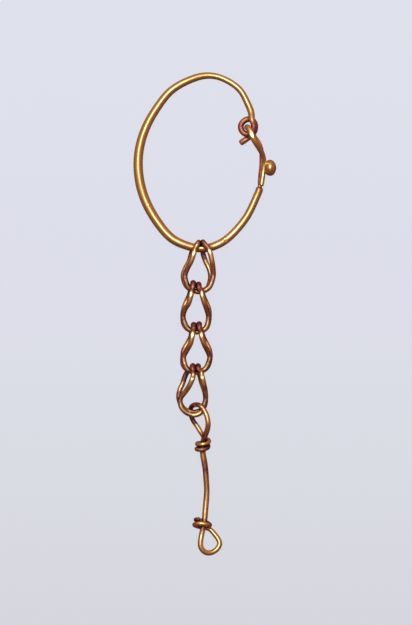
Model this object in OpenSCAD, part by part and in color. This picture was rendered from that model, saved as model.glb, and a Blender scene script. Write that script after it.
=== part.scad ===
// Chain drop earring of gold wire, as it lies on a table.
// X runs across it, Y runs up it from the foot of the drop to the crown of the hoop,
// and Z rises from the table. The origin is on the table, below the earring's middle.
// Everything is bent from round wire, so every piece is a route that a wire follows.
// Wire that rests on wire keeps a hair of air, named touch.

/* [Hoop] */
// Thickness of the hoop's wire down its stout left side
hoop_wire = 1.08; // [0.96:0.02:1.1]
// Thickness of the thin end that is coiled into the ring
ring_wire = 0.62; // [0.56:0.01:0.64]
// Thickness of the other thin end, doubled back as the hook
hook_wire = 0.53; // [0.48:0.01:0.54]
// Height of the granule that is soldered to the hook
granule_tall = 1.82; // [1.6:0.02:1.86]
// How far the granule stands out from its own middle, across the hook
granule_reach = 0.69; // [0.6:0.01:0.76]

/* [Chain] */
// Thickness of the links' wire
link_wire = 0.58; // [0.55:0.01:0.59]
// How far each fold rises over the wire that it hangs on, past touching it
fold_slack = 0.22; // [0.2:0.01:0.24]

/* [Drop] */
// Thickness of the drop's wire along its stem
drop_wire = 0.64; // [0.56:0.01:0.65]
// Share of that thickness in the two turns below the upper eye
coil_share = 0.78; // [0.7:0.02:0.8]

/* [Fit] */
// Air between wires that touch
touch = 0.07; // [0.06:0.01:0.08]
// Sides of the hoop's wire
hoop_sides = 14; // [10:1:16]
// Sides of the drop's wire
drop_sides = 8; // [6:1:10]
// Sides of the links' wire
link_sides = 6; // [6:1:8]

/* [Hidden] */
hoop_gold = "goldenrod";
link_gold = "peru";

// Heights of the wire's middle where one link hangs in another: the back strand of
// the fold on the table, the two bars inside it, and the front strand on top. The
// share of 0.57 keeps the corners of a wire with few sides out of the table.
function deck(level) = 0.57 * link_wire + level * (link_wire + touch);

// The hoop, turned clockwise from the hook over the foot and the crown to the ring.
// Columns: bearing from the hoop's middle, distance from it, share of hoop_wire,
// and the air under the wire
hoop_mid = [-0.75, 17.1];
under_hoop = deck(0) + link_wire / 2 + touch;
HOOP = [
    [330, 7.57, 0.77, 0.08],
    [310, 8.24, 0.79, 0.28],
    [291, 9.18, 0.83, 0.52],
    [281, 9.60, 0.84, under_hoop - 0.01],
    [272, 9.73, 0.82, under_hoop],
    [262, 9.50, 0.88, under_hoop - 0.03],
    [250, 9.06, 0.93, 0.54],
    [230, 7.90, 0.98, 0.26],
    [210, 7.20, 1.00, 0.12],
    [190, 6.84, 0.99, 0.06],
    [170, 6.78, 0.96, 0.03],
    [150, 6.99, 0.92, 0.02],
    [130, 7.55, 0.87, 0.01],
    [110, 8.62, 0.81, 0.01],
    [90, 9.54, 0.73, 0.02],
    [80, 9.79, 0.65, 0.06],
    [70, 9.65, 0.64, 0.16],
    [60, 9.29, 0.65, 0.36],
    [50, 8.54, 0.68, 0.70],
    [43, 8.05, 0.69, 0.98]
];
foot_wire = 0.82 * hoop_wire;
foot_height = under_hoop + foot_wire / 2;

// The ring and its tail, turned clockwise from the end of the hoop, with ring_air more
// than a touch between the hook's back strand and the ring over it.
// Columns: bearing from the ring's middle, distance from it, and lift, which is 0 in
// the ring's lower turn and 1 in its upper turn
ring_mid = [4.85, 21.0];
ring_air = 0.03;
ring_low = hook_wire + touch + ring_air + ring_wire / 2;
ring_high = ring_low + ring_wire + touch;
RING = [
    [62, 0.84, 1.03],
    [22, 0.61, 1.0],
    [-20, 0.57, 1.0],
    [-65, 0.72, 0.97],
    [-110, 0.86, 0.85],
    [-150, 0.87, 0.65],
    [-190, 0.87, 0.40],
    [-235, 0.84, 0.15],
    [-275, 0.88, 0],
    [-315, 0.83, 0],
    [-355, 0.76, 0],
    [-395, 0.81, 0],
    [-425, 0.96, 0],
    [-447, 1.15, -0.05],
    [-466, 1.55, -0.15],
    [-475, 1.92, -0.25]
];

// The hook: the hoop's other end steps down to a thin wire, which runs along the
// table, turns up through the ring and comes back over itself to its cut end. It is
// flattened where it comes out over the ring, which is drawn as a stouter wire.
// Columns: x, y, lift, which is 0 on the table and 1 over the ring, and thickness
hook_air = 0.01;
hook_flat = 1.28 * hook_wire;
hook_low = hook_air + hook_wire / 2;
hook_high = ring_high + (ring_wire + hook_flat) / 2 + touch;
HOOK = [
    [6.02, 13.84, 0.11, 0.76 * hoop_wire],
    [6.08, 14.11, 0.105, 0.73 * hoop_wire],
    [6.11, 14.27, 0.10, hook_wire],
    [6.16, 14.95, 0.08, hook_wire],
    [6.22, 15.70, 0.08, hook_wire],
    [6.32, 16.55, 0.09, hook_wire],
    [6.34, 17.45, 0.06, hook_wire],
    [6.31, 18.30, 0.02, hook_wire],
    [6.05, 19.13, 0, hook_wire],
    [5.50, 19.96, 0, hook_wire],
    [5.08, 20.56, 0.02, hook_wire],
    [4.82, 20.84, 0.15, 1.06 * hook_wire],
    [4.68, 20.94, 0.5, 1.2 * hook_wire],
    [4.80, 20.84, 0.85, 1.26 * hook_wire],
    [5.05, 20.45, 0.98, hook_flat],
    [5.29, 19.86, 1.04, hook_flat],
    [5.64, 19.21, 0.98, 1.25 * hook_wire],
    [6.13, 18.43, 0.78, 1.16 * hook_wire],
    [6.47, 17.72, 0.56, 1.06 * hook_wire],
    [6.58, 17.05, 0.43, hook_wire],
    [6.53, 16.20, 0.39, hook_wire],
    [6.45, 15.45, 0.43, hook_wire],
    [6.30, 14.50, 0.50, hook_wire]
];
granule_at = [7.26, 16.42];
// The granule's outline. Columns: share of its reach, and share of its height
GRANULE = [[-1, 0.3], [-0.9, 0.5], [-0.65, 0.78], [-0.3, 0.96], [0, 1], [0.3, 0.96],
           [0.6, 0.8], [0.85, 0.52], [0.96, 0.28]];

// Shares of a loop's length, down from its fold, at which LOOPS gives its form
STATIONS = [0, 0.12, 0.3, 0.45, 0.62, 0.8];
// The two loops of each link, the front one first: its middle and half its width at
// each station, and last its foot's x and y
LOOPS = [
    [
        [[-0.38, 0.74], [-0.36, 0.93], [-0.41, 1.18], [-0.55, 1.42], [-0.68, 1.58], [-0.70, 1.39],
         [-0.72, 2.52]],
        [[-0.80, 0.54], [-0.90, 0.66], [-0.88, 0.93], [-0.90, 1.30], [-0.94, 1.53], [-0.91, 1.39],
         [-0.78, 2.54]]
    ],
    [
        [[-0.95, 0.53], [-0.97, 0.64], [-0.97, 0.89], [-1.06, 1.22], [-1.06, 1.42], [-1.00, 1.26],
         [-0.93, -1.98]],
        [[-1.02, 0.64], [-1.02, 0.79], [-1.02, 1.17], [-1.01, 1.41], [-1.03, 1.48], [-1.04, 1.37],
         [-0.93, -1.98]]
    ],
    [
        [[-0.90, 0.46], [-0.93, 0.53], [-0.90, 0.77], [-0.92, 1.13], [-0.96, 1.46], [-1.00, 1.29],
         [-1.04, -6.50]],
        [[-0.97, 0.56], [-0.93, 0.68], [-0.93, 1.09], [-0.97, 1.44], [-0.98, 1.54], [-1.05, 1.44],
         [-1.04, -6.50]]
    ],
    [
        [[-0.90, 0.42], [-0.86, 0.52], [-0.93, 0.80], [-1.09, 1.10], [-1.37, 1.41], [-1.44, 1.25],
         [-1.25, -11.28]],
        [[-1.37, 0.61], [-1.43, 0.85], [-1.46, 1.09], [-1.49, 1.36], [-1.47, 1.50], [-1.39, 1.36],
         [-1.28, -10.97]]
    ]
];
// The round end of a loop, past its last station.
// Columns: share of its length, and share of its width at the last station
ROUND_END = [[0.9, 0.81], [0.965, 0.49]];
// How far a loop has come from the height of its fold to that of its foot.
// Columns: share of its length, and share of the way
FRONT_FALL = [[0, 0], [0.16, 0], [0.3, 0.22], [0.45, 0.7], [0.62, 1]];
BACK_RISE = [[0, 0], [0.4, 0.06], [0.86, 1]];
// How far the front loop arches over that way or dips below it.
// Columns: share of its length, and height
FRONT_ARCH = [[0, 0], [0.12, 0.09], [0.3, 0.09], [0.45, -0.05], [0.62, -0.12], [0.8, 0]];
// The back loop has no arch
FLAT = [[0, 0]];
// Where each link is folded over what it hangs on. Columns: x of the fold's top, y of
// what it hangs on, share of fold_slack in its rise, how much its left strand rises over
// its right, and the thickness of its wire there as a share of link_wire. The sharp bend
// has spread the wire, but over the hoop it is worn thin.
FOLDS = [
    [-0.50, 7.37, 0.35, -0.03, 0.96],
    [-1.03, 2.62, 0.95, 0.16, 1.05],
    [-0.99, -1.95, 0.9, -0.08, 1.07],
    [-1.10, -6.44, 0.3, 0.02, 1.04]
];
// Places over a fold, from its front strand to its back strand.
// Columns: share of its rise, and share of half its depth
FOLD = [[0.5, 0.98], [0.86, 0.75], [1, 0], [0.86, -0.75], [0.5, -0.98]];
// Air between a fold's two strands at its top
fold_air = touch + 0.04;

// How a cut end is worn round: the share of the wire's thickness that it runs on for,
// and the share of it that is left there
worn_run = 0.25;
worn_share = 0.64;
// How far corners stand out of a round wire, as a share of how deep its flats cut in
corner_share = 0.7;

// The drop's wire between its two coils. Columns: x, y, z and share of drop_wire
DROP_EYE = [
    [-0.40, -13.40, 0.44, 0.82],
    [-0.88, -12.60, 0.38, 0.84],
    [-1.42, -11.80, 0.32, 0.84],
    [-1.64, -11.05, 0.29, 0.86],
    [-1.62, -10.54, 0.36, 0.86],
    [-1.40, -10.24, 0.72, 0.86],
    [-0.96, -10.11, 1.56, 0.88],
    [-0.47, -10.28, 2.24, 0.88],
    [-0.19, -10.60, 2.30, 0.88],
    [0.01, -10.97, 2.34, 0.90],
    [0.21, -11.50, 2.41, 0.90],
    [0.32, -12.22, 2.40, 0.92],
    [0.20, -13.00, 1.92, 0.94],
    [-0.05, -13.65, 1.30, 0.96]
];
STEM = [
    [-0.22, -14.30, 0.94, 1],
    [-0.27, -15.00, 0.94, 1],
    [-0.25, -15.75, 0.92, 1.02],
    [-0.13, -16.40, 0.89, 1.04],
    [0.02, -17.40, 0.82, 1],
    [0.10, -18.50, 0.74, 0.98],
    [0.17, -19.80, 0.66, 0.96],
    [0.11, -20.85, 0.67, 1],
    [0.01, -21.95, 0.77, 1],
    [-0.06, -22.90, 0.88, 0.98],
    [-0.16, -23.55, 0.93, 0.96]
];
FOOT_EYE = [
    [-0.29, -24.15, 0.97, 0.94],
    [-0.42, -24.77, 1.05, 0.94],
    [-0.53, -25.44, 1.14, 0.94],
    [-0.52, -25.94, 1.17, 0.94],
    [-0.31, -26.39, 1.12, 0.92],
    [0.10, -26.70, 0.98, 0.92],
    [0.59, -26.73, 0.82, 0.92],
    [1.10, -26.50, 0.70, 0.92],
    [1.48, -26.11, 0.63, 0.92],
    [1.61, -25.66, 0.56, 0.92],
    [1.44, -25.19, 0.48, 0.90],
    [1.04, -24.66, 0.38, 0.88],
    [0.53, -24.13, 0.30, 0.84]
];
FOOT_COIL = [
    [-0.14, -23.91, 0.29, 0.84],
    [-0.80, -23.79, 0.34, 0.84],
    [-1.19, -23.60, 0.85, 0.84],
    [-0.89, -23.45, 1.41, 0.84],
    [-0.31, -23.44, 1.57, 0.84],
    [0.22, -23.56, 1.45, 0.84],
    [0.50, -23.62, 0.92, 0.84],
    [0.15, -23.38, 0.35, 0.82],
    [-0.42, -23.16, 0.28, 0.78],
    [-0.86, -23.09, 0.38, 0.75],
    [-1.07, -23.04, 0.70, 0.74],
    [-0.96, -22.98, 1.01, 0.74],
    [-0.72, -22.95, 1.12, 0.72]
];

// The two turns below the upper eye, wound from behind the stem, to the right and
// over its front. Each turn goes coil_pitch down and coil_lean to the left, and its
// front sags by coil_sag.
coil_wire = coil_share * drop_wire;
coil_radius = (drop_wire + coil_wire) / 2 + touch;
coil_mid = [-0.23, -14.22, 0.93];
coil_lean = 0.06;
coil_pitch = 0.58;
coil_sag = 0.18;
coil_from = -70;
coil_to = 600;

// Flat part of a row, its first three values
function place(row) = [row[0], row[1], row[2]];

function unit(v) = v / norm(v);

// Point at share u of the way from row b to row c, on the smooth curve a, b, c, d
function between(a, b, c, d, u) =
    let (
        k1 = sqrt(norm(place(b - a))),
        k2 = k1 + sqrt(norm(place(c - b))),
        k3 = k2 + sqrt(norm(place(d - c))),
        k = k1 + (k2 - k1) * u,
        ab = (a * (k1 - k) + b * k) / k1,
        bc = (b * (k2 - k) + c * (k - k1)) / (k2 - k1),
        cd = (c * (k3 - k) + d * (k - k2)) / (k3 - k2),
        abc = (ab * (k2 - k) + bc * k) / k2,
        bcd = (bc * (k3 - k) + cd * (k - k1)) / (k3 - k1)
    )
    (abc * (k2 - k) + bcd * (k - k1)) / (k2 - k1);

// Smooth curve through rows of x, y, z and thickness, with so many steps to a row
function open_curve(rows, steps) =
    let (
        n = len(rows),
        more = concat([2 * rows[0] - rows[1]], rows, [2 * rows[n - 1] - rows[n - 2]])
    )
    concat(
        [for (i = [1:n - 1], k = [0:steps - 1])
            between(more[i - 1], more[i], more[i + 1], more[i + 2], k / steps)],
        [rows[n - 1]]
    );

function closed_curve(rows, steps) =
    let (n = len(rows))
    [for (i = [0:n - 1], k = [0:steps - 1])
        between(rows[(i + n - 1) % n], rows[i], rows[(i + 1) % n], rows[(i + 2) % n],
                k / steps)];

// One more row past a cut end, which rounds its edge off
function worn_end(row, inner) =
    let (tip = place(row) + unit(place(row - inner)) * worn_run * row[3])
    [tip[0], tip[1], tip[2], worn_share * row[3]];

function with_ends(path) =
    let (n = len(path))
    concat(
        [worn_end(path[0], path[1])],
        path,
        [worn_end(path[n - 1], path[n - 2])]
    );

// Directions of the wire along its path
function headings(path, closed) =
    let (n = len(path))
    [for (i = [0:n - 1])
        let (
            last = closed ? path[(i + n - 1) % n] : path[max(i - 1, 0)],
            next = closed ? path[(i + 1) % n] : path[min(i + 1, n - 1)]
        )
        unit(place(next - last))];

// A vector squared to a heading, and one such vector carried along all headings
function squared(v, heading) = unit(v - (v * heading) * heading);
function carried(headings, i = 0, v = [0.3, 0.2, 1]) =
    i == len(headings)
    ? []
    : let (side = squared(v, headings[i]))
      concat([side], carried(headings, i + 1, side));

// Turn that brings the carried vector of a closed path back to where it began
function closing_turn(headings, sides) =
    let (
        last = squared(sides[len(sides) - 1], headings[0]),
        up = cross(headings[0], sides[0])
    )
    -atan2(last * up, last * sides[0]);

// Round wire along a path of rows. A wire with few sides is drawn a little fuller than
// its thickness at the corners, which keeps its weight.
module wire(path, facets, closed = false) {
    n = len(path);
    heading = headings(path, closed);
    side = carried(heading);
    turn = closed ? closing_turn(heading, side) : 0;
    fuller = 1 + corner_share * (1 - cos(180 / facets));
    corners = [for (i = [0:n - 1], k = [0:facets - 1])
        let (a = 360 * k / facets + turn * i / n)
        place(path[i]) + path[i][3] / 2 * fuller
            * (cos(a) * side[i] + sin(a) * cross(heading[i], side[i]))];
    bands = closed ? n : n - 1;
    walls = [for (i = [0:bands - 1], k = [0:facets - 1])
        let (
            here = i * facets,
            there = ((i + 1) % n) * facets,
            k2 = (k + 1) % facets
        )
        each [[here + k, there + k2, here + k2], [here + k, there + k, there + k2]]];
    caps = closed
        ? []
        : [[for (k = [0:facets - 1]) k],
           [for (k = [facets - 1:-1:0]) (n - 1) * facets + k]];
    polyhedron(points = corners, faces = concat(walls, caps), convexity = 12);
}

// Rows of the hoop, of the ring and of the hook, as x, y, z and thickness
function hoop_rows() =
    [for (row = HOOP)
        let (wire = row[2] * hoop_wire)
        [hoop_mid[0] + row[1] * cos(row[0]), hoop_mid[1] + row[1] * sin(row[0]),
         row[3] + wire / 2, wire]];

function ring_rows() =
    [for (row = RING)
        [ring_mid[0] + row[1] * cos(row[0]), ring_mid[1] + row[1] * sin(row[0]),
         ring_low + row[2] * (ring_high - ring_low), ring_wire]];

function hook_rows() =
    [for (row = HOOK)
        [row[0], row[1], hook_low + row[2] * (hook_high - hook_low), row[3]]];

function backwards(rows) = [for (i = [len(rows) - 1:-1:0]) rows[i]];

function ear_hoop_rows() = concat(backwards(hook_rows()), hoop_rows(), ring_rows());

// Hoop, ring and hook of one wire, with the granule soldered to the hook
module ear_hoop() {
    color(hoop_gold) union() {
        wire(with_ends(open_curve(ear_hoop_rows(), 3)), hoop_sides);
        wire([for (row = GRANULE)
            [granule_at[0] + row[0] * granule_reach, granule_at[1], granule_tall / 2,
             row[1] * granule_tall]], hoop_sides);
    }
}

// Places down a loop, from its fold, as share of its length, middle and half width
function places(loop) =
    let (
        last = len(STATIONS) - 1,
        foot = loop[last + 1],
        to_foot = [[STATIONS[last], loop[last][0]], [1, foot[0]]]
    )
    concat(
        [for (i = [0:last]) [STATIONS[i], loop[i][0], loop[i][1]]],
        [for (row = ROUND_END) [row[0], lookup(row[0], to_foot), row[1] * loop[last][1]]]
    );

function foot_of(loop) = loop[len(STATIONS)];

// One strand of a loop, right of its middle where hand is 1 and left where it is -1
function strand(loop, fold, hand, z_fold, z_foot, way, arch = FLAT) =
    [for (row = places(loop))
        [row[1] + hand * row[2],
         fold[1] + row[0] * (foot_of(loop)[1] - fold[1]),
         z_fold + lookup(row[0], way) * (z_foot - z_fold) + lookup(row[0], arch),
         link_wire]];

// One strand of the fold, from its front loop over the wire that the link hangs on to
// its back loop
function fold_strand(loops, fold, hand, rise, z_front) =
    let (
        middle = (z_front + deck(0)) / 2,
        half = (z_front - deck(0)) / 2,
        tall = rise - hand * fold[3] / 2,
        fold_wire = fold[4] * link_wire,
        top_x = fold[0] + hand * (fold_wire + fold_air) / 2
    )
    [for (row = FOLD)
        let (
            below = (row[1] > 0 ? loops[0] : loops[1])[0],
            foot_x = below[0] + hand * below[1]
        )
        [foot_x + row[0] * (top_x - foot_x), fold[1] + tall * row[0],
         middle + half * row[1], link_wire + row[0] * (fold_wire - link_wire)]];

function foot_row(loop, z) = [[foot_of(loop)[0], foot_of(loop)[1], z, link_wire]];

// Closed route of a link: up the right of its front loop, over the fold, round the
// back loop from right to left, over the fold again and down the front loop's left
function link_rows(loops, fold, rise, z_front) =
    let (front = loops[0], back = loops[1])
    concat(
        foot_row(front, deck(2)),
        backwards(strand(front, fold, 1, z_front, deck(2), FRONT_FALL, FRONT_ARCH)),
        fold_strand(loops, fold, 1, rise, z_front),
        strand(back, fold, 1, deck(0), deck(1), BACK_RISE),
        foot_row(back, deck(1)),
        backwards(strand(back, fold, -1, deck(0), deck(1), BACK_RISE)),
        backwards(fold_strand(loops, fold, -1, rise, z_front)),
        strand(front, fold, -1, z_front, deck(2), FRONT_FALL, FRONT_ARCH)
    );

// Link 1 hangs on the hoop's foot, and each other link on the feet of the one above
function rise_of(k) =
    (FOLDS[k - 1][4] * link_wire + (k == 1 ? foot_wire : link_wire)) / 2 + touch
    + fold_slack * FOLDS[k - 1][2];

function front_of(k) =
    k == 1 ? foot_height + (foot_wire + link_wire) / 2 + touch : deck(3);

function rows_of_link(k) =
    link_rows(LOOPS[k - 1], FOLDS[k - 1], rise_of(k), front_of(k));

module link(k) {
    color(link_gold) wire(closed_curve(rows_of_link(k), 2), link_sides, true);
}

function coil_rows() =
    [for (a = [coil_from:30:coil_to])
        [coil_mid[0] - coil_lean * a / 360 + coil_radius * cos(a),
         coil_mid[1] - coil_pitch * a / 360 - coil_sag * sin(a),
         coil_mid[2] + coil_radius * sin(a),
         coil_wire]];

function in_drop_wire(rows) =
    [for (row = rows) [row[0], row[1], row[2], row[3] * drop_wire]];

function drop_rows() =
    concat(
        backwards(coil_rows()),
        in_drop_wire(concat(DROP_EYE, STEM, FOOT_EYE, FOOT_COIL))
    );

// The drop, one wire: a coil, the eye that hangs in link 4, the stem, and the eye and
// coil at its foot
module drop() {
    color(link_gold) wire(with_ends(open_curve(drop_rows(), 3)), drop_sides);
}

ear_hoop();
for (k = [1:4]) link(k);
drop();  // drop_wire
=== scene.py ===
"""A chain drop earring of gold wire, lying on a pale sheet under one soft lamp."""

import math

import bmesh
import bpy
import numpy as np
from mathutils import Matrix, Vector, noise
from mathutils.kdtree import KDTree


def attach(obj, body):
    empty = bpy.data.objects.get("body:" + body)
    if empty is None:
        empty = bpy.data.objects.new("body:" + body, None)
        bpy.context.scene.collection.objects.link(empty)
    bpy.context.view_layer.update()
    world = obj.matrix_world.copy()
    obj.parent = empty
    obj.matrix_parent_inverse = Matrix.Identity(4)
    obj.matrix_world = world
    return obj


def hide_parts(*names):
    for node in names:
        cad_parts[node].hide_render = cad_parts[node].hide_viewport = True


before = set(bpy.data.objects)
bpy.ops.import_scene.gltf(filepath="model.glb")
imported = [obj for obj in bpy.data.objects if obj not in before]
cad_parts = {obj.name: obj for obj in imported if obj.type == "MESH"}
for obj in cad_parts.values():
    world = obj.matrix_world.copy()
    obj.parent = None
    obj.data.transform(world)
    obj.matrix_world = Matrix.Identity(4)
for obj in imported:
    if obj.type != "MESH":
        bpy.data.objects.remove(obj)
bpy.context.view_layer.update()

MM = 0.001
# How much of the sheet the picture shows from top to bottom, in mm
FRAME_TALL = 70

# ---- the routes that the wires follow, in mm, as the solid parts have them ----

HOOP_WIRE = 1.08
RING_WIRE = 0.66
HOOK_WIRE = 0.53
LINK_WIRE = 0.58
DROP_WIRE = 0.64
COIL_WIRE = 0.78 * DROP_WIRE
TOUCH = 0.07
FOLD_SLACK = 0.22
# A link's lowest middle line lies this share of LINK_WIRE above the sheet
LINK_REST = 0.57


def deck(level):
    """Height of a link's wire: 0 on the sheet, 1 and 2 inside the next fold, 3 on top."""
    return LINK_REST * LINK_WIRE + level * (LINK_WIRE + TOUCH)


# Redness says how much coppery film is left on the wire, from 0 to 1. Below 0 the wire is
# dull gold, and over 1 painted shade, near black, hides it.

# Bearing from the hoop's middle, distance, share of HOOP_WIRE, air under it, redness
HOOP_MID = (-0.75, 17.1)
UNDER_HOOP = deck(0) + LINK_WIRE / 2 + TOUCH
HOOP = [
    (330, 7.57, 0.77, 0.08, -0.2),
    (310, 8.24, 0.79, 0.28, -0.5),
    (291, 9.18, 0.83, 0.52, 0.35),
    (281, 9.60, 0.84, UNDER_HOOP - 0.01, 0.5),
    (272, 9.73, 0.82, UNDER_HOOP, 0.6),
    (262, 9.50, 0.88, UNDER_HOOP - 0.03, 0.5),
    (250, 9.06, 0.93, 0.54, 0.35),
    (230, 7.90, 0.98, 0.26, 0.25),
    (210, 7.20, 1.00, 0.12, 0.1),
    (190, 6.84, 0.99, 0.06, 0.1),
    (170, 6.78, 0.96, 0.03, 0.1),
    (150, 6.99, 0.92, 0.02, 0.1),
    (130, 7.55, 0.87, 0.01, 0.1),
    (110, 8.62, 0.81, 0.01, -0.1),
    (90, 9.54, 0.73, 0.02, -0.9),
    (80, 9.79, 0.65, 0.06, -0.4),
    (70, 9.65, 0.64, 0.16, 0.0),
    (60, 9.29, 0.65, 0.36, 0.4),
    (50, 8.54, 0.68, 0.70, 0.55),
    (43, 8.05, 0.69, 0.98, 0.4),
]
FOOT_WIRE = 0.82 * HOOP_WIRE
FOOT_HEIGHT = UNDER_HOOP + FOOT_WIRE / 2

# Bearing from the ring's middle, distance, lift from the lower turn to the upper, redness
RING_MID = (4.85, 21.0)
RING_AIR = 0.03
RING_LOW = HOOK_WIRE + TOUCH + RING_AIR + RING_WIRE / 2
RING_HIGH = RING_LOW + RING_WIRE + TOUCH
RING = [
    (62, 0.84, 1.03, 0.45),
    (22, 0.61, 1.0, 0.8),
    (-20, 0.57, 1.0, 0.9),
    (-65, 0.72, 0.97, 0.9),
    (-110, 0.86, 0.85, 0.8),
    (-150, 0.87, 0.65, 0.8),
    (-190, 0.87, 0.40, 0.8),
    (-235, 0.84, 0.15, 0.6),
    (-275, 0.88, 0, 0.65),
    (-315, 0.83, 0, 0.9),
    (-355, 0.76, 0, 0.85),
    (-395, 0.81, 0, 0.9),
    (-425, 0.96, 0, 0.9),
    (-447, 1.15, -0.05, 0.8),
    (-466, 1.55, -0.15, 0.5),
    (-475, 1.92, -0.25, 0.6),
]

# x, y, lift from the sheet to over the ring, thickness, redness
HOOK_FLAT = 1.28 * HOOK_WIRE
HOOK_AIR = 0.01
HOOK_LOW = HOOK_WIRE / 2 + HOOK_AIR
HOOK_HIGH = RING_HIGH + (RING_WIRE + HOOK_FLAT) / 2 + TOUCH
HOOK = [
    (6.02, 13.84, 0.11, 0.76 * HOOP_WIRE, 0.5),
    (6.08, 14.11, 0.105, 0.73 * HOOP_WIRE, 0.7),
    (6.11, 14.27, 0.10, HOOK_WIRE, 0.8),
    (6.16, 14.95, 0.08, HOOK_WIRE, 0.75),
    (6.22, 15.70, 0.08, HOOK_WIRE, 0.75),
    (6.32, 16.55, 0.09, HOOK_WIRE, 0.75),
    (6.34, 17.45, 0.06, HOOK_WIRE, 0.6),
    (6.31, 18.30, 0.02, HOOK_WIRE, 0.5),
    (6.05, 19.13, 0, HOOK_WIRE, 0.45),
    (5.50, 19.96, 0, HOOK_WIRE, 0.5),
    (5.08, 20.56, 0.02, HOOK_WIRE, 0.5),
    (4.82, 20.84, 0.15, 1.06 * HOOK_WIRE, 0.4),
    (4.68, 20.94, 0.5, 1.2 * HOOK_WIRE, 0.2),
    (4.80, 20.84, 0.85, 1.26 * HOOK_WIRE, 0.1),
    (5.05, 20.45, 0.98, HOOK_FLAT, 0.05),
    (5.29, 19.86, 1.04, HOOK_FLAT, 0.0),
    (5.64, 19.21, 0.98, 1.25 * HOOK_WIRE, 0.05),
    (6.13, 18.43, 0.78, 1.16 * HOOK_WIRE, 0.2),
    (6.47, 17.72, 0.56, 1.06 * HOOK_WIRE, 0.25),
    (6.58, 17.05, 0.43, HOOK_WIRE, 0.3),
    (6.53, 16.20, 0.39, HOOK_WIRE, 0.15),
    (6.45, 15.45, 0.43, HOOK_WIRE, 0.1),
    (6.30, 14.50, 0.50, HOOK_WIRE, 0.2),
]

# The granule's sections outwards from the hook: share of its reach, share of its height
GRANULE_AT = (7.26, 16.42)
GRANULE_TALL = 1.82
GRANULE_REACH = 0.69
GRANULE_RED = 0.4
GRANULE = [(-1, 0.3), (-0.9, 0.5), (-0.65, 0.78), (-0.3, 0.96), (0, 1), (0.3, 0.96),
           (0.6, 0.8), (0.85, 0.52), (0.96, 0.28)]
# Where the solder runs in between the granule and the hook, and how far
SOLDER_AT = (6.7, 16.42, 0.8)
SOLDER_REACH = 1.3

# Each link's front loop and back loop: middle and half width at each of these shares of
# its length, and last the foot's x and y
STATIONS = (0, 0.12, 0.3, 0.45, 0.62, 0.8)
LOOPS = [
    (((-0.38, 0.74), (-0.36, 0.93), (-0.41, 1.18), (-0.55, 1.42), (-0.68, 1.58), (-0.70, 1.39),
      (-0.72, 2.52)),
     ((-0.80, 0.54), (-0.90, 0.66), (-0.88, 0.93), (-0.90, 1.30), (-0.94, 1.53), (-0.91, 1.39),
      (-0.78, 2.54))),
    (((-0.95, 0.53), (-0.97, 0.64), (-0.97, 0.89), (-1.06, 1.22), (-1.06, 1.42), (-1.00, 1.26),
      (-0.93, -1.98)),
     ((-1.02, 0.64), (-1.02, 0.79), (-1.02, 1.17), (-1.01, 1.41), (-1.03, 1.48), (-1.04, 1.37),
      (-0.93, -1.98))),
    (((-0.90, 0.46), (-0.93, 0.53), (-0.90, 0.77), (-0.92, 1.13), (-0.96, 1.46), (-1.00, 1.29),
      (-1.04, -6.50)),
     ((-0.97, 0.56), (-0.93, 0.68), (-0.93, 1.09), (-0.97, 1.44), (-0.98, 1.54), (-1.05, 1.44),
      (-1.04, -6.50))),
    (((-0.90, 0.42), (-0.86, 0.52), (-0.93, 0.80), (-1.09, 1.10), (-1.37, 1.41), (-1.44, 1.25),
      (-1.25, -11.28)),
     ((-1.37, 0.61), (-1.43, 0.85), (-1.46, 1.09), (-1.49, 1.36), (-1.47, 1.50), (-1.39, 1.36),
      (-1.28, -10.97))),
]
# Share of the length past the last station, share of the width there
ROUND_END = [(0.9, 0.81), (0.965, 0.49)]
# x of the fold's top, y of what the link hangs on, share of FOLD_SLACK, left strand's
# rise over the right, share of LINK_WIRE, redness of the left strand and of the right,
# and how straight the strands run apart: 1 is straight, and less keeps them together
FOLDS = [
    (-0.50, 7.37, 0, -0.03, 0.98, 0.35, 0.7, 1),
    (-1.05, 2.62, 0.8, 0.17, 1.18, 0.75, 0.75, 0.25),
    (-0.99, -1.95, 0.8, -0.08, 1.18, 0.75, 0.75, 0.25),
    (-1.10, -6.44, 0.1, 0.02, 1.16, 0.75, 0.75, 0.3),
]
# Over a fold: share of its rise, share of its depth from the front to the back
FOLD = [(0.5, 0.98), (0.86, 0.75), (1, 0), (0.86, -0.75), (0.5, -0.98)]
# How far the two strands are pressed into each other at the top of a fold
FOLD_PRESS = 0.09
# How far a loop has come from the height of its fold to that of its foot
FRONT_FALL = [(0, 0), (0.16, 0), (0.3, 0.22), (0.45, 0.7), (0.62, 1)]
BACK_RISE = [(0, 0), (0.4, 0.06), (0.86, 1)]
# How far the front loop arches over that way or dips below it, in mm
FRONT_ARCH = [(0, 0), (0.12, 0.09), (0.3, 0.09), (0.45, -0.05), (0.62, -0.12), (0.8, 0)]
# The back loop has no arch
FLAT = [(0, 0)]
# How red each strand is, from its fold to its foot
FRONT_RED = [(0, 0.6), (0.05, 0.25), (0.1, 0.0), (0.22, 0.1), (0.3, 0.4), (0.45, 0.5),
             (0.62, 0.75), (0.8, 0.6), (1, 0.4)]
# The back strands' values over 1 just under the fold are painted shade, where they come out
# from under the link above
BACK_RED = [(0, 1.8), (0.1, 1.7), (0.2, 0.8), (0.26, 0.3), (0.45, 0.45), (0.62, 0.6),
            (0.8, 0.5), (1, 0.4)]

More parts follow.
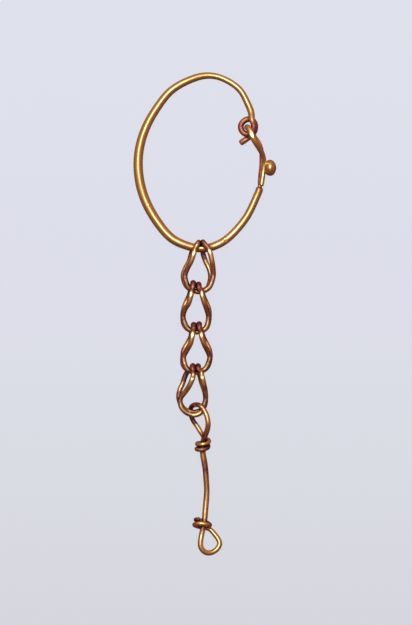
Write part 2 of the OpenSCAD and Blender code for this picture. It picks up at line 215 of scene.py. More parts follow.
# x, y, z, share of DROP_WIRE, redness
DROP_EYE = [
    (-0.40, -13.40, 0.44, 0.82, 0.5),
    (-0.88, -12.60, 0.38, 0.84, 0.1),
    # The next two rows' redness over 1 is painted shade, where the eye runs out from under link
    # 4's foot
    (-1.42, -11.80, 0.32, 0.84, 1.5),
    (-1.64, -11.05, 0.29, 0.86, 1.6),
    (-1.62, -10.54, 0.36, 0.86, 0.5),
    (-1.40, -10.24, 0.72, 0.86, 0.6),
    (-0.96, -10.11, 1.56, 0.88, 0.5),
    (-0.47, -10.28, 2.24, 0.88, 0.5),
    (-0.19, -10.60, 2.30, 0.88, 0.45),
    (0.01, -10.97, 2.34, 0.90, 0.45),
    (0.21, -11.50, 2.41, 0.90, 0.0),
    (0.32, -12.22, 2.40, 0.92, 0.15),
    (0.20, -13.00, 1.92, 0.94, 0.5),
    (-0.05, -13.65, 1.30, 0.96, 0.8),
]
STEM = [
    (-0.22, -14.30, 0.94, 1, 0.5),
    (-0.27, -15.00, 0.94, 1, 0.35),
    (-0.25, -15.75, 0.92, 1.02, 0.35),
    (-0.13, -16.40, 0.89, 1.04, 0.45),
    (0.02, -17.40, 0.82, 1, 0.65),
    (0.10, -18.50, 0.74, 0.98, 0.6),
    (0.17, -19.80, 0.66, 0.96, 0.5),
    (0.11, -20.85, 0.67, 1, 0.42),
    (0.01, -21.95, 0.77, 1, 0.4),
    (-0.06, -22.90, 0.88, 0.98, 0.5),
    (-0.16, -23.55, 0.93, 0.96, 0.5),
]
FOOT_EYE = [
    (-0.29, -24.15, 0.97, 0.94, 0.5),
    (-0.42, -24.77, 1.05, 0.94, 0.4),
    (-0.53, -25.44, 1.14, 0.94, 0.15),
    (-0.52, -25.94, 1.17, 0.94, 0.1),
    (-0.31, -26.39, 1.12, 0.92, 0.1),
    (0.10, -26.70, 0.98, 0.92, 0.2),
    (0.59, -26.73, 0.82, 0.92, 0.2),
    (1.10, -26.50, 0.70, 0.92, 0.15),
    (1.48, -26.11, 0.63, 0.92, 0.1),
    (1.61, -25.66, 0.56, 0.92, 0.15),
    (1.44, -25.19, 0.48, 0.90, 0.15),
    (1.04, -24.66, 0.38, 0.88, 0.2),
    (0.53, -24.13, 0.30, 0.84, 0.3),
]
FOOT_COIL = [
    (-0.14, -23.91, 0.29, 0.84, 0.6),
    (-0.80, -23.79, 0.34, 0.84, 0.6),
    (-1.19, -23.60, 0.85, 0.84, 0.3),
    (-0.89, -23.45, 1.41, 0.84, 0.3),
    (-0.31, -23.44, 1.57, 0.84, 0.3),
    (0.22, -23.56, 1.45, 0.84, 0.5),
    (0.50, -23.62, 0.92, 0.84, 0.8),
    (0.15, -23.38, 0.35, 0.82, 0.8),
    (-0.42, -23.16, 0.28, 0.78, 0.7),
    (-0.86, -23.09, 0.38, 0.75, 0.6),
    (-1.07, -23.04, 0.70, 0.74, 0.6),
    (-0.96, -22.98, 1.01, 0.74, 0.6),
    (-0.72, -22.95, 1.12, 0.72, 0.6),
]

# The two turns under the upper eye, counted in degrees round the stem from the first to
# the cut tip, and how red the upper turn and the lower one are
COIL_RADIUS = (DROP_WIRE + COIL_WIRE) / 2 + TOUCH
COIL_MID = (-0.23, -14.22, 0.93)
COIL_LEAN, COIL_PITCH, COIL_SAG = 0.06, 0.58, 0.18
COIL_FROM, COIL_TO, COIL_STEP = -70, 600, 30
COIL_UPPER_TO = 200
COIL_UPPER_RED, COIL_LOWER_RED = 0.15, 0.65

# Small flats that years of rubbing have left on top of the wire: x and y of each, how
# deep it is cut and how far it runs each way, in mm. The hook's is the widest.
RUBBED = [
    (5.25, 19.95, 0.04, 0.6),
    (-1.31, 6.78, 0.035, 0.40), (0.50, 7.01, 0.025, 0.35),
    (-1.56, 2.28, 0.03, 0.35), (-0.35, 2.15, 0.03, 0.35),
    (-1.44, -2.40, 0.03, 0.40), (-0.42, -2.30, 0.03, 0.40),
    (-1.45, -7.24, 0.035, 0.38), (-0.34, -7.12, 0.03, 0.40),
]
# The way that all of them face, nearly up
RUBBED_WAY = np.array([-0.051, 0.178, 0.983])
# A wire is rubbed if its middle line passes this near, and where two cross it is the
# upper one: each mm of height counts for this many mm of nearness
RUBBED_NEAR, RUBBED_HIGH = 0.25, 0.2
# Over 1 keeps the middle of a flat at its full depth
RUBBED_FADE = 1.6

# Nicks in the hoop: x, y and z, reach and depth
NICKS = [
    ((2.27, 8.27, 1.42), 0.14, 0.05),
    ((-6.5, 12.4, 1.2), 0.12, 0.012),
    ((-6.2, 12.1, 1.2), 0.1, 0.012),
]
# The lip that a nick raises: share of its depth, and in reaches how far out it stands,
# how sharp it is and where it ends
LIP_SHARE, LIP_OUT, LIP_SHARP, LIP_END = 0.25, 1.7, 3, 4

# What the hammer and the draw plate have left: long flats and short dips, each with how
# many there are round the wire and in each mm along it, and how deep they are
FLATS_ROUND, FLATS_ALONG, FLATS_DEEP = 1.3, 0.16, 0.75
DIPS_ROUND, DIPS_ALONG, DIPS_DEEP = 1.7, 0.9, 0.35
# On a closed wire, how much the flats differ between its two halves
FLATS_APART = 0.4
# These keep the marks of each wire, and its dips and flats, from being the same
WIRE_SHIFT, DIPS_SHIFT = 7.3, 9

# A cut end of wire, rounded by wear: in thicknesses past the end, share of the thickness
CUT_END = [(0.07, 0.985), (0.14, 0.93), (0.20, 0.82), (0.245, 0.64), (0.27, 0.40)]

# Painted shade, with some dirt, darkens the wire where another wire is nearer than this, in mm
SHADE_DIRT_REACH = 0.36
# Between two stretches of one wire this only counts this many thicknesses apart
OWN_APART = 4
# A gap too wide to give any painted shade or dirt
OPEN = 9.0
# Corners further than this many thicknesses from the wire's middle line are the granule's
GRANULE_FROM = 0.75
# Each wire has a stretch of the pattern to itself: wires that start 1 mm apart are given
# stretches this many mm apart
PATTERN_APART = 40


def turned(middle, bearing, distance):
    """The point at a bearing and a distance from the middle."""
    a = math.radians(bearing)
    return middle[0] + distance * math.cos(a), middle[1] + distance * math.sin(a)


def from_table(table, share):
    """Value at a share, read between the rows of a table."""
    return float(np.interp(share, [row[0] for row in table], [row[1] for row in table]))


def hoop_rows():
    """The hoop's route, from the tip of the hook round to the tail of the ring."""
    hook = [(x, y, HOOK_LOW + lift * (HOOK_HIGH - HOOK_LOW), wire, red)
            for x, y, lift, wire, red in HOOK]
    hoop = [(*turned(HOOP_MID, bearing, distance), air + share * HOOP_WIRE / 2,
             share * HOOP_WIRE, red)
            for bearing, distance, share, air, red in HOOP]
    ring = [(*turned(RING_MID, bearing, distance),
             RING_LOW + lift * (RING_HIGH - RING_LOW), RING_WIRE, red)
            for bearing, distance, lift, red in RING]
    return hook[::-1] + hoop + ring


def strand(loop, fold, hand, z_fold, z_foot, way, red, arch=FLAT):
    """One strand of a loop, right of its middle where hand is 1 and left where it is -1."""
    foot_x, foot_y = loop[-1]
    last_x, last_half = loop[-2]
    to_foot = [(STATIONS[-1], last_x), (1, foot_x)]
    places = [(share, *place) for share, place in zip(STATIONS, loop)]
    places += [(share, from_table(to_foot, share), part * last_half)
               for share, part in ROUND_END]
    return [(middle + hand * half,
             fold[1] + share * (foot_y - fold[1]),
             z_fold + from_table(way, share) * (z_foot - z_fold) + from_table(arch, share),
             LINK_WIRE, from_table(red, share))
            for share, middle, half in places]


def fold_strand(loops, fold, hand, rise, z_front):
    """From the front loop over what the link hangs on to the back loop."""
    top_x, top_y, _, lean, wire_share, left_red, right_red, straight = fold
    middle, half = (z_front + deck(0)) / 2, (z_front - deck(0)) / 2
    tall = rise - hand * lean / 2
    fold_wire = wire_share * LINK_WIRE
    strand_x = top_x + hand * (fold_wire - FOLD_PRESS) / 2
    rows = []
    for up, depth in FOLD:
        below = loops[0 if depth > 0 else 1][0]
        foot_x = below[0] + hand * below[1]
        rows.append((foot_x + up ** straight * (strand_x - foot_x), top_y + tall * up,
                     middle + half * depth, fold_wire, left_red if hand < 0 else right_red))
    return rows


def link_rows(k):
    """A link's closed route: front loop's right strand up, round the back loop, and down."""
    loops = LOOPS[k - 1]
    front, back = loops
    fold = FOLDS[k - 1]
    hung_on = FOOT_WIRE if k == 1 else LINK_WIRE
    rise = (fold[4] * LINK_WIRE + hung_on) / 2 + FOLD_SLACK * fold[2]
    top = FOOT_HEIGHT + (FOOT_WIRE + LINK_WIRE) / 2 + TOUCH if k == 1 else deck(3)

    def front_strand(hand):
        return strand(front, fold, hand, top, deck(2), FRONT_FALL, FRONT_RED, FRONT_ARCH)

    def back_strand(hand):
        return strand(back, fold, hand, deck(0), deck(1), BACK_RISE, BACK_RED)

    return ([(*front[-1], deck(2), LINK_WIRE, FRONT_RED[-1][1])]
            + front_strand(1)[::-1] + fold_strand(loops, fold, 1, rise, top) + back_strand(1)
            + [(*back[-1], deck(1), LINK_WIRE, BACK_RED[-1][1])]
            + back_strand(-1)[::-1] + fold_strand(loops, fold, -1, rise, top)[::-1]
            + front_strand(-1))


def drop_rows():
    """The drop's route, from the cut tip of its upper coil to that of its lower one."""
    coil = []
    for a in range(COIL_FROM, COIL_TO + 1, COIL_STEP):
        c, s = math.cos(math.radians(a)), math.sin(math.radians(a))
        coil.append((COIL_MID[0] - COIL_LEAN * a / 360 + COIL_RADIUS * c,
                     COIL_MID[1] - COIL_PITCH * a / 360 - COIL_SAG * s,
                     COIL_MID[2] + COIL_RADIUS * s, COIL_WIRE,
                     COIL_LOWER_RED if a > COIL_UPPER_TO else COIL_UPPER_RED))
    wire = [(x, y, z, share * DROP_WIRE, red)
            for x, y, z, share, red in DROP_EYE + STEM + FOOT_EYE + FOOT_COIL]
    return coil[::-1] + wire


# ---- bending and sweeping the wire ----

def smooth_curve(rows, steps, closed):
    """Points on one smooth curve through the rows."""
    rows = np.array(rows, float)
    n = len(rows)
    if closed:
        more = np.vstack([rows[-1:], rows, rows[:2]])
        spans = n
    else:
        more = np.vstack([2 * rows[0] - rows[1], rows, 2 * rows[-1] - rows[-2]])
        spans = n - 1
    points = []
    for i in range(spans):
        a, b, c, d = more[i:i + 4]
        k1 = math.sqrt(np.linalg.norm((b - a)[:3]))
        k2 = k1 + math.sqrt(np.linalg.norm((c - b)[:3]))
        k3 = k2 + math.sqrt(np.linalg.norm((d - c)[:3]))
        for k in np.linspace(k1, k2, steps, endpoint=False):
            ab = (a * (k1 - k) + b * k) / k1
            bc = (b * (k2 - k) + c * (k - k1)) / (k2 - k1)
            cd = (c * (k3 - k) + d * (k - k2)) / (k3 - k2)
            abc = (ab * (k2 - k) + bc * k) / k2
            bcd = (bc * (k3 - k) + cd * (k - k1)) / (k3 - k1)
            points.append((abc * (k2 - k) + bcd * (k - k1)) / (k2 - k1))
    if not closed:
        points.append(rows[-1])
    return np.array(points)


def evenly_spaced(points, gap, closed):
    """The same curve in even steps of about gap, how far along it each step is, and how
    long it is."""
    if closed:
        points = np.vstack([points, points[:1]])
    runs = np.linalg.norm(np.diff(points[:, :3], axis=0), axis=1)
    along = np.concatenate([[0], np.cumsum(runs)])
    count = int(round(along[-1] / gap)) + 1
    at = np.linspace(0, along[-1], count)
    if closed:
        at = at[:-1]
    even = np.column_stack([np.interp(at, along, points[:, j]) for j in range(points.shape[1])])
    return even, at, along[-1]


class Wire:
    """A bent wire: its middle line, thickness and redness, and a frame carried along it."""

    STEPS = 24  # of the smooth curve between two rows
    GAP = 0.07  # between two rings of the skin, in mm
    FIRST_SIDE = (0.3, 0.2, 1.0)  # the frame starts near this way

    def __init__(self, rows, closed=False):
        path, self.along, self.length = evenly_spaced(
            smooth_curve(rows, self.STEPS, closed), self.GAP, closed)
        self.closed = closed
        self.middle = path[:, :3]
        self.thick = path[:, 3]
        self.red = path[:, 4]
        if closed:
            ahead = np.roll(self.middle, -1, 0) - np.roll(self.middle, 1, 0)
        else:
            ahead = np.gradient(self.middle, axis=0)
        self.heading = ahead / np.linalg.norm(ahead, axis=1)[:, None]
        side = np.array(self.FIRST_SIDE)
        sides = []
        for h in self.heading:
            side = side - side.dot(h) * h
            side = side / np.linalg.norm(side)
            sides.append(side)
        self.side = np.array(sides)
        self.up = np.cross(self.heading, self.side)
        if closed:
            last = side - side.dot(self.heading[0]) * self.heading[0]
            turn = -math.atan2(last.dot(self.up[0]), last.dot(self.side[0]))
            a = (turn * np.arange(len(sides)) / len(sides))[:, None]
            self.side, self.up = (np.cos(a) * self.side + np.sin(a) * self.up,
                                  np.cos(a) * self.up - np.sin(a) * self.side)


def hand_made(wire, angle, planished):
    """How far the wire is from round, as a share of its radius."""
    n, m = len(wire.along), len(angle)
    seed = wire.middle[0, 0] * WIRE_SHIFT
    shift = np.zeros((n, m))
    for i in range(n):
        s, t = wire.along[i], 0
        if wire.closed:
            # Read round a circle, so that the marks meet where the wire closes
            turn, radius = math.tau * s / wire.length, wire.length / math.tau
            s, t = math.cos(turn) * radius, math.sin(turn) * radius
        for j in range(m):
            c, d = math.cos(angle[j]), math.sin(angle[j])
            flats = noise.noise((c * FLATS_ROUND + seed, d * FLATS_ROUND,
                                 s * FLATS_ALONG + t * FLATS_APART))
            dips = noise.noise((c * DIPS_ROUND + DIPS_SHIFT + t * DIPS_ALONG,
                                d * DIPS_ROUND + seed, s * DIPS_ALONG))
            shift[i, j] = planished * (FLATS_DEEP * flats + DIPS_DEEP * dips)
    return shift


def rubbed(wire, skin):
    """The skin with the flats cut that lie on this wire."""
    for x, y, depth, reach in RUBBED:
        apart = (np.hypot(wire.middle[:, 0] - x, wire.middle[:, 1] - y)
                 - RUBBED_HIGH * wire.middle[:, 2])
        i = int(apart.argmin())
        if np.hypot(*(wire.middle[i, :2] - (x, y))) > RUBBED_NEAR:
            continue
        flat = wire.middle[i] + RUBBED_WAY * (wire.thick[i] / 2 - depth)
        from_flat = np.abs(wire.along - wire.along[i]) / reach
        share = np.clip(RUBBED_FADE * (1 - from_flat), 0, 1)
        over = np.maximum((skin - flat) @ RUBBED_WAY, 0) * share[:, None]
        skin = skin - over[..., None] * RUBBED_WAY
    return skin


def skin_over(rings, tips=()):
    """Corners and faces of the skin over rings of corners, which either closes on itself
    or runs to a tip at each end."""
    count, sides = len(rings), len(rings[0])
    corners = np.concatenate(rings)
    faces = []
    for i in range(count - 1 if len(tips) else count):
        here, there = i * sides, ((i + 1) % count) * sides
        for k in range(sides):
            k2 = (k + 1) % sides
            faces.append((here + k, here + k2, there + k2, there + k))
    if len(tips):
        first, last_ring = len(corners), (count - 1) * sides
        corners = np.vstack([corners, tips])
        for k in range(sides):
            k2 = (k + 1) % sides
            faces.append((first, k2, k))
            faces.append((first + 1, last_ring + k, last_ring + k2))
    return corners, faces


def sweep(wire, sides=32, planished=0.045):
    """Corners and faces of the wire's skin, in mm."""
    angle = 2 * math.pi * np.arange(sides) / sides
    radius = wire.thick[:, None] / 2 * (1 + hand_made(wire, angle, planished))
    spoke = (np.cos(angle)[None, :, None] * wire.side[:, None]
             + np.sin(angle)[None, :, None] * wire.up[:, None])
    rings = list(rubbed(wire, wire.middle[:, None] + radius[..., None] * spoke))
    if wire.closed:
        return skin_over(rings)

    def cut_end(i, out):
        made = []
        for run, share in CUT_END:
            middle = wire.middle[i] + out * wire.heading[i] * run * wire.thick[i]
            made.append(middle + share * radius[i][:, None] * spoke[i])
        return made

    rings = cut_end(0, -1)[::-1] + rings + cut_end(-1, 1)
    bulge = 0.01
    return skin_over(rings, [rings[0].mean(0) - bulge * wire.heading[0],
                             rings[-1].mean(0) + bulge * wire.heading[-1]])


def granule_skin(sides=40):
    """Corners and faces of the granule, turned about a line across the hook."""
    rows = [(GRANULE_AT[0] + out * GRANULE_REACH, GRANULE_AT[1], GRANULE_TALL / 2,
             share * GRANULE_TALL) for out, share in GRANULE]
    rows = smooth_curve(rows, 5, False)
    uneven, lumps_along, lumps_round = 0.03, 1.4, 1.5
    rings = []
    for x, y, z, wide in rows:
        ring = []
        for k in range(sides):
            c, s = math.cos(math.tau * k / sides), math.sin(math.tau * k / sides)
            wobble = 1 + uneven * noise.noise((x * lumps_along, c * lumps_round,
                                               s * lumps_round))
            ring.append((x, y + wide / 2 * wobble * c, z + wide / 2 * wobble * s))
        rings.append(ring)
    inner, outer = rows[0][:3] - (0.02, 0, 0), rows[-1][:3] + (0.05, 0, 0)
    return skin_over(rings, [inner, outer])


def mesh_piece(name, corners, faces):
    """A smooth object of that name, from corners in mm."""
    mesh = bpy.data.meshes.new(name)
    mesh.from_pydata((np.asarray(corners) * MM).tolist(), [], faces)
    mesh.validate()
    piece = bpy.data.objects.new(name, mesh)
    bpy.context.collection.objects.link(piece)
    mesh.polygons.foreach_set("use_smooth", [True] * len(mesh.polygons))
    return piece


def corners_of(piece):
    """The piece's corners, in mm."""
    flat = np.empty(len(piece.data.vertices) * 3)
    piece.data.vertices.foreach_get("co", flat)
    return flat.reshape(-1, 3) / MM


def solder(piece, lump):
    """Joins the lump to the piece and lets the solder run into the corner."""
    join = piece.modifiers.new("join", "BOOLEAN")
    join.operation, join.object, join.solver = "UNION", lump, "EXACT"
    graph = bpy.context.evaluated_depsgraph_get()
    made = bpy.data.meshes.new_from_object(piece.evaluated_get(graph))
    piece.modifiers.clear()
    piece.data = made
    bpy.data.objects.remove(lump)
    work = bmesh.new()
    work.from_mesh(made)
    bmesh.ops.triangulate(work, faces=[f for f in work.faces if len(f.verts) > 4])
    # The corner is where two faces that meet turn by more than about 40 degrees
    middle, sharp = Vector(SOLDER_AT) * MM, 0.75
    corner = []
    for vert in work.verts:
        if (vert.co - middle).length < SOLDER_REACH * MM and len(vert.link_faces) > 2:
            spread = [a.normal.dot(b.normal) for a in vert.link_faces for b in vert.link_faces]
            if min(spread) < sharp:
                corner.append(vert)
    wetted = set(corner)
    for _ in range(2):
        wetted |= {edge.other_vert(v) for v in list(wetted) for edge in v.link_edges}
    for _ in range(6):
        bmesh.ops.smooth_vert(work, verts=list(wetted), factor=0.5, use_axis_x=True,
                              use_axis_y=True, use_axis_z=True)
    for face in work.faces:
        face.smooth = True
    work.to_mesh(made)
    work.free()


def nick(piece, at, reach, depth):
    """Pushes the skin in round a point, with a raised lip round it."""
    corners = corners_of(piece)
    mesh = piece.data
    normals = np.array([v.normal[:] for v in mesh.vertices])
    d = np.linalg.norm(corners - np.array(at), axis=1) / reach
    push = (-depth * np.exp(-d ** 2)
            + LIP_SHARE * depth * np.exp(-(d - LIP_OUT) ** 2 * LIP_SHARP))
    push[d > LIP_END] = 0
    moved = (corners + normals * push[:, None]) * MM
    mesh.vertices.foreach_set("co", moved.ravel())
    mesh.update()


def write_wear_and_shade(piece, wire, others):
    """Stores for each corner where it was on the straight wire, how red and how dull the
    wire is there, and how much painted shade, with some dirt, it takes between wires."""
    corners = corners_of(piece)
    tree = KDTree(len(wire.middle))
    for i, p in enumerate(wire.middle):
        tree.insert(p, i)
    tree.balance()
    near = np.array([tree.find(p)[1] for p in corners])
    out = corners - wire.middle[near]
    ahead = np.einsum("ij,ij->i", out, wire.heading[near])
    straight = np.column_stack([
        np.einsum("ij,ij->i", out, wire.side[near]),
        np.einsum("ij,ij->i", out, wire.up[near]),
        wire.along[near] + ahead])

    gap = np.full(len(corners), OPEN)
    batch = 4000
    for middle, half, its_along, own in others:
        for start in range(0, len(corners), batch):
            part = slice(start, start + batch)
            d = np.linalg.norm(corners[part, None] - middle[None], axis=2) - half[None]
            if own:
                apart = np.abs(straight[part, 2][:, None] - its_along[None])
                if wire.closed:
                    apart = np.minimum(apart, wire.length - apart)
                d[apart < OWN_APART * 2 * half[None]] = OPEN
            gap[part] = np.minimum(gap[part], d.min(1))

    mesh = piece.data
    loops = np.empty(len(mesh.loops), int)
    mesh.loops.foreach_get("vertex_index", loops)
    by_corner = straight[loops]
    if wire.closed:
        # Faces that close the wire run on past its length and not back to 0
        for face in mesh.polygons:
            part = slice(face.loop_start, face.loop_start + face.loop_total)
            run = by_corner[part, 2]
            if run.max() - run.min() > wire.length / 2:
                by_corner[part, 2] = np.where(run < wire.length / 2, run + wire.length, run)
    by_corner[:, 2] += PATTERN_APART * wire.middle[0, 1]
    straight_wire = mesh.attributes.new("straight_wire", "FLOAT_VECTOR", "CORNER")
    straight_wire.data.foreach_set("vector", by_corner.ravel())

    on_granule = np.linalg.norm(out, axis=1) / wire.thick[near] > GRANULE_FROM
    red = np.where(on_granule, GRANULE_RED, wire.red[near])
    # Painted shade, with some dirt: full where another wire touches, fading as it draws away,
    # and also wherever redness is over 1
    shade_and_dirt = np.maximum(np.clip(1 - gap / SHADE_DIRT_REACH, 0, 1), np.clip(red - 1, 0, 1))
    for name, values in (("redness", np.clip(red, 0, 1)), ("dullness", np.clip(-red, 0, 1)),
                         ("shade_and_dirt", shade_and_dirt)):
        mesh.attributes.new(name, "FLOAT", "POINT").data.foreach_set("value", values)


# ---- finishes ----

def linear(code):
    """An sRGB hex colour as linear red, green, blue and alpha."""
    parts = [int(code[i:i + 2], 16) / 255 for i in (1, 3, 5)]
    return [c / 12.92 if c < 0.04045 else ((c + 0.055) / 1.055) ** 2.4 for c in parts] + [1]


def node(tree, kind, settings=None, **inputs):
    """Adds a node, sets it, and gives each input a value or another node's output. An
    input is called by its name, or as i0, i1 and so on by its number."""
    made = tree.nodes.new("ShaderNode" + kind)
    for name, value in (settings or {}).items():
        setattr(made, name, value)
    for name, value in inputs.items():
        name = name.replace("_", " ")
        socket = made.inputs[int(name[1:]) if name[0] == "i" and name[1:].isdigit() else name]
        if isinstance(value, bpy.types.NodeSocket):
            tree.links.new(value, socket)
        else:
            socket.default_value = value
    return made


def new_material(name):
    material = bpy.data.materials.new(name)
    material.use_nodes = True
    tree = material.node_tree
    tree.nodes.clear()
    return material, tree


# Marks on the gold, per mm of wire, and how far each kind is drawn out along it.
# Blotches of film are about 0.6 mm wide and 1 mm long.
BLOTCHES, BLOTCH_DRAWN = 1.7, 0.55
# Lines from the draw plate lie about 0.1 mm apart and run about 3 mm.
DRAW_LINES, LINE_DRAWN = 9.0, 0.035
# Pits and rubbed grains are 0.04 to 0.17 mm across.
GRAINS = 6.0
# How strongly the blotches break up the film
BLOTCH_STRENGTH = 1.5
# How much more readily film stays between two wires
FILM_IN_SHELTER = 0.3
# How much of the colour the painted shade, with some dirt, hides where wires meet
SHADE_DIRT_SHARE = 0.8
# Roughness of gold that has lost its polish, and of the film
DULL_ROUGH, FILM_ROUGH = 0.42, 0.45


def old_gold(name, bright, tired, red_film, dark_film, red_share):
    """Gold of about 20 carat, drawn and hammered by hand and long worn smooth, so its
    highlights are narrow and a little broken. A rougher coppery film is left wherever
    nothing has rubbed it, looking redder and softer, with painted shade and dirt between wires."""
    material, tree = new_material(name)
    wire = node(tree, "Attribute", {"attribute_name": "straight_wire"}).outputs["Vector"]
    red = node(tree, "Attribute", {"attribute_name": "redness"}).outputs["Fac"]
    shade_and_dirt = node(tree, "Attribute", {"attribute_name": "shade_and_dirt"}).outputs["Fac"]
    dull = node(tree, "Attribute", {"attribute_name": "dullness"}).outputs["Fac"]

    blotch_at = node(tree, "Mapping", Vector=wire, Scale=(1, 1, BLOTCH_DRAWN)).outputs[0]
    blotch = node(tree, "TexNoise", Vector=blotch_at, Scale=BLOTCHES, Detail=5.0,
                  Roughness=0.62).outputs["Fac"]
    uneven = node(tree, "Math", {"operation": "MULTIPLY_ADD"}, i0=blotch,
                  i1=BLOTCH_STRENGTH, i2=-BLOTCH_STRENGTH / 2 + red_share).outputs[0]
    with_red = node(tree, "Math", {"operation": "ADD"}, i0=uneven, i1=red).outputs[0]
    kept = node(tree, "Math", {"operation": "MULTIPLY_ADD"},
                i0=shade_and_dirt, i1=FILM_IN_SHELTER, i2=with_red).outputs[0]
    film = node(tree, "MapRange", {"interpolation_type": "SMOOTHSTEP"},
                Value=kept, From_Min=0.2, From_Max=0.78).outputs["Result"]

    lines_at = node(tree, "Mapping", Vector=wire, Scale=(1, 1, LINE_DRAWN)).outputs[0]
    draw_lines = node(tree, "TexNoise", Vector=lines_at, Scale=DRAW_LINES, Detail=4.0,
                      Roughness=0.7).outputs["Fac"]
    grain = node(tree, "TexNoise", Vector=wire, Scale=GRAINS, Detail=4.0,
                 Roughness=0.65).outputs["Fac"]

    tone = node(tree, "MapRange", Value=draw_lines, From_Min=0.35, From_Max=0.65).outputs[0]
    clean = node(tree, "Mix", {"data_type": "RGBA"}, i0=tone, i6=linear(tired),
                 i7=linear(bright)).outputs[2]
    gold = node(tree, "Mix", {"data_type": "RGBA"}, i0=dull, i6=clean,
                i7=linear("#DEC07E")).outputs[2]
    film_tone = node(tree, "MapRange", Value=grain, From_Min=0.42, From_Max=0.58).outputs[0]
    film_colour = node(tree, "Mix", {"data_type": "RGBA"}, i0=film_tone,
                       i6=linear(dark_film), i7=linear(red_film)).outputs[2]
    colour = node(tree, "Mix", {"data_type": "RGBA"}, i0=film, i6=gold,
                  i7=film_colour).outputs[2]
    # Painted shade, with some dirt: a near-black brown mixed in where wires nearly touch and
    # where redness is over 1
    shade_dirt_amount = node(tree, "Math", {"operation": "MULTIPLY"}, i0=shade_and_dirt,
                i1=SHADE_DIRT_SHARE).outputs[0]
    shaded_dirty_colour = node(tree, "Mix", {"data_type": "RGBA"}, i0=shade_dirt_amount, i6=colour,
                 i7=linear("#2C1812")).outputs[2]

    worn_rough = node(tree, "MapRange", Value=grain, From_Min=0.3, From_Max=0.7,
                      To_Min=0.14, To_Max=0.24).outputs[0]
    gold_rough = node(tree, "Mix", i0=dull, i2=worn_rough, i3=DULL_ROUGH).outputs[0]
    rough = node(tree, "Mix", i0=film, i2=gold_rough, i3=FILM_ROUGH).outputs[0]

    relief = node(tree, "Math", {"operation": "MULTIPLY_ADD"},
                  i0=draw_lines, i1=0.5, i2=grain).outputs[0]
    bump = node(tree, "Bump", Strength=0.2, Distance=0.01 * MM, Height=relief).outputs[0]
    shader = node(tree, "BsdfPrincipled", Base_Color=shaded_dirty_colour, Metallic=1.0, Roughness=rough,
                  Normal=bump)
    node(tree, "OutputMaterial", Surface=shader.outputs[0])
    return material


def pale_sheet():
    """The matt sheet underneath, lit through from below so that it takes almost no
    shadow. It is a little darker towards the foot of the picture."""
    material, tree = new_material("pale matt sheet")
    place = node(tree, "NewGeometry").outputs["Position"]
    y = node(tree, "SeparateXYZ", Vector=place).outputs["Y"]
    edge = FRAME_TALL / 2 * MM
    down = node(tree, "MapRange", Value=y, From_Min=edge, From_Max=-edge).outputs[0]
    ramp = node(tree, "ValToRGB", Fac=down)
    stops = ramp.color_ramp.elements
    stops[0].color = linear("#DEE1EC")
    stops[1].color = linear("#D5D6DE")
    for at, code in ((0.5, "#DBDDE9"), (0.72, "#D9DCE4")):
        stops.new(at).color = linear(code)
    colour = ramp.outputs["Color"]
    glow = node(tree, "Emission", Color=colour, Strength=1.03).outputs[0]
    matt = node(tree, "BsdfDiffuse", Color=colour).outputs[0]
    both = node(tree, "MixShader", Fac=0.05, i1=glow, i2=matt).outputs[0]
    node(tree, "OutputMaterial", Surface=both)
    return material


# ---- the pieces ----

hoop_wire = Wire(hoop_rows())
link_wires = [Wire(link_rows(k), closed=True) for k in (1, 2, 3, 4)]
drop_wire = Wire(drop_rows())
WIRES = [hoop_wire] + link_wires + [drop_wire]


def finish(piece, wire, gold):
    """Gives the piece its wear and painted shade, worked out from every third ring of all
    the wires, and its gold."""
    write_wear_and_shade(piece, wire, [(w.middle[::3], w.thick[::3] / 2, w.along[::3], w is wire)
                             for w in WIRES])
    piece.data.materials.append(gold)


hoop_gold = old_gold("old gold, hoop", "#FBE4A2", "#F0D088", "#DE8C84", "#A86A68", -0.12)
chain_gold = old_gold("old gold, chain", "#FBE4A2", "#ECC880", "#C48680", "#7C4E4C", 0.0)

hoop = mesh_piece("hoop", *sweep(hoop_wire, sides=40, planished=0.03))
solder(hoop, mesh_piece("granule", *granule_skin()))
for at, reach, depth in NICKS:
    nick(hoop, at, reach, depth)
finish(hoop, hoop_wire, hoop_gold)
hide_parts("ear_hoop")
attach(hoop, "root")

for k, wire in enumerate(link_wires, 1):
    link = mesh_piece(f"link_{k}_wire", *sweep(wire))
    finish(link, wire, chain_gold)
    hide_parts(f"link_{k}")
    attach(link, "root")

drop = mesh_piece("drop", *sweep(drop_wire))
finish(drop, drop_wire, chain_gold)
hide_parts("drop_wire")
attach(drop, "root")

# ---- the sheet, the light and the camera ----

# Half the width of the sheet, and how far it lies under the lowest wire, in mm
SHEET_HALF, SHEET_UNDER = 1500, 0.01
sheet = mesh_piece("sheet", [(x * SHEET_HALF, y * SHEET_HALF, -SHEET_UNDER)
                             for x, y in ((-1, -1), (1, -1), (1, 1), (-1, 1))], [(0, 1, 2, 3)])
sheet.data.materials.append(pale_sheet())
sheet.visible_glossy = False

# The soft lamp hangs nearly overhead, a little up the earring and to its left, 0.8 m
# away and 0.3 m wide, and gives 1 W
LAMP_WAY = Vector((-0.10, 0.35, 0.93)).normalized()
LAMP_AWAY, LAMP_WIDE, LAMP_WATTS = 0.8, 0.3, 1.0
light = bpy.data.lights.new("soft lamp", "AREA")
light.shape, light.size, light.energy = "SQUARE", LAMP_WIDE, LAMP_WATTS
lamp = bpy.data.objects.new("soft lamp", light)
bpy.context.collection.objects.link(lamp)
lamp.location = LAMP_WAY * LAMP_AWAY
lamp.rotation_euler = LAMP_WAY.to_track_quat("Z", "Y").to_euler()
lamp.visible_camera = False

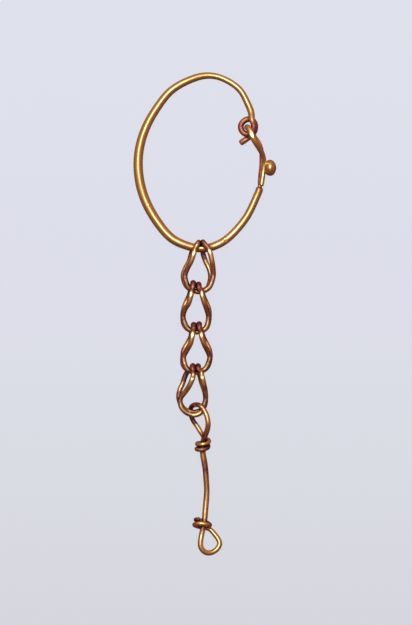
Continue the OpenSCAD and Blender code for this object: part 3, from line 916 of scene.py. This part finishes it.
# The room round the lamp: what the gold mirrors at each angle away from it, in degrees.
# A white ceiling fades into warm brown walls.
ROOM = [(0, "#F0F0FF"), (10, "#E0E0E4"), (16, "#C6C2B2"), (23, "#B0A684"), (35, "#9E8456"),
        (47, "#906A49"), (60, "#83584A"), (75, "#7D514A"), (90, "#7E544C"), (110, "#724D47"),
        (135, "#593A37")]
ROOM_LIGHT = 1.6
# Its light level with the earring, and how much brighter it is up the earring than there
ROOM_LEVEL, ROOM_UP = 0.9, 0.42
# Where the lit part of the ceiling begins and ends, up the earring
LIT_FROM, LIT_TO = 0.2, 0.42

world = bpy.data.worlds.new("room")
bpy.context.scene.world = world
world.use_nodes = True
tree = world.node_tree
tree.nodes.clear()
way = node(tree, "TexCoord").outputs["Generated"]
up = node(tree, "SeparateXYZ", Vector=way).outputs["Y"]
lit_y = node(tree, "Clamp", Value=up, Min=LIT_FROM, Max=LIT_TO).outputs[0]
lit_at = node(tree, "CombineXYZ", X=LAMP_WAY.x, Y=lit_y, Z=LAMP_WAY.z).outputs[0]
lit_way = node(tree, "VectorMath", {"operation": "NORMALIZE"}, i0=lit_at).outputs[0]
across = node(tree, "VectorMath", {"operation": "DOT_PRODUCT"}, i0=way,
              i1=lit_way).outputs["Value"]
angle = node(tree, "Math", {"operation": "ARCCOSINE"}, i0=across).outputs[0]
share = node(tree, "Math", {"operation": "DIVIDE"}, i0=angle, i1=math.pi).outputs[0]
room = node(tree, "ValToRGB", Fac=share)
stops = room.color_ramp.elements
stops[0].color = linear(ROOM[0][1])
stops[1].position = ROOM[-1][0] / 180
stops[1].color = linear(ROOM[-1][1])
for degrees, code in ROOM[1:-1]:
    stops.new(degrees / 180).color = linear(code)
gain = node(tree, "Math", {"operation": "MULTIPLY_ADD"}, i0=up, i1=ROOM_UP,
            i2=ROOM_LEVEL).outputs[0]
lit = node(tree, "VectorMath", {"operation": "SCALE"}, i0=room.outputs["Color"],
           Scale=gain).outputs[0]
seen = node(tree, "LightPath").outputs["Is Camera Ray"]
colour = node(tree, "Mix", {"data_type": "RGBA"}, i0=seen, i6=lit,
              i7=linear("#B4B6BD")).outputs[2]
background = node(tree, "Background", Color=colour, Strength=ROOM_LIGHT)
node(tree, "OutputWorld", Surface=background.outputs[0])

bpy.context.scene.view_settings.view_transform = "Standard"

# A long lens half a metre above the sheet, looking straight down
SENSOR, LENS_UP = 36, 500
VIEWER_AT = (0.084, 0.207, 501.3)
camera = bpy.data.cameras.new("camera")
camera.sensor_width = SENSOR
camera.lens = SENSOR * LENS_UP / FRAME_TALL
camera.clip_start, camera.clip_end = 0.01, 10
viewer = bpy.data.objects.new("camera", camera)
bpy.context.collection.objects.link(viewer)
viewer.location = Vector(VIEWER_AT) * MM
bpy.context.scene.camera = viewer
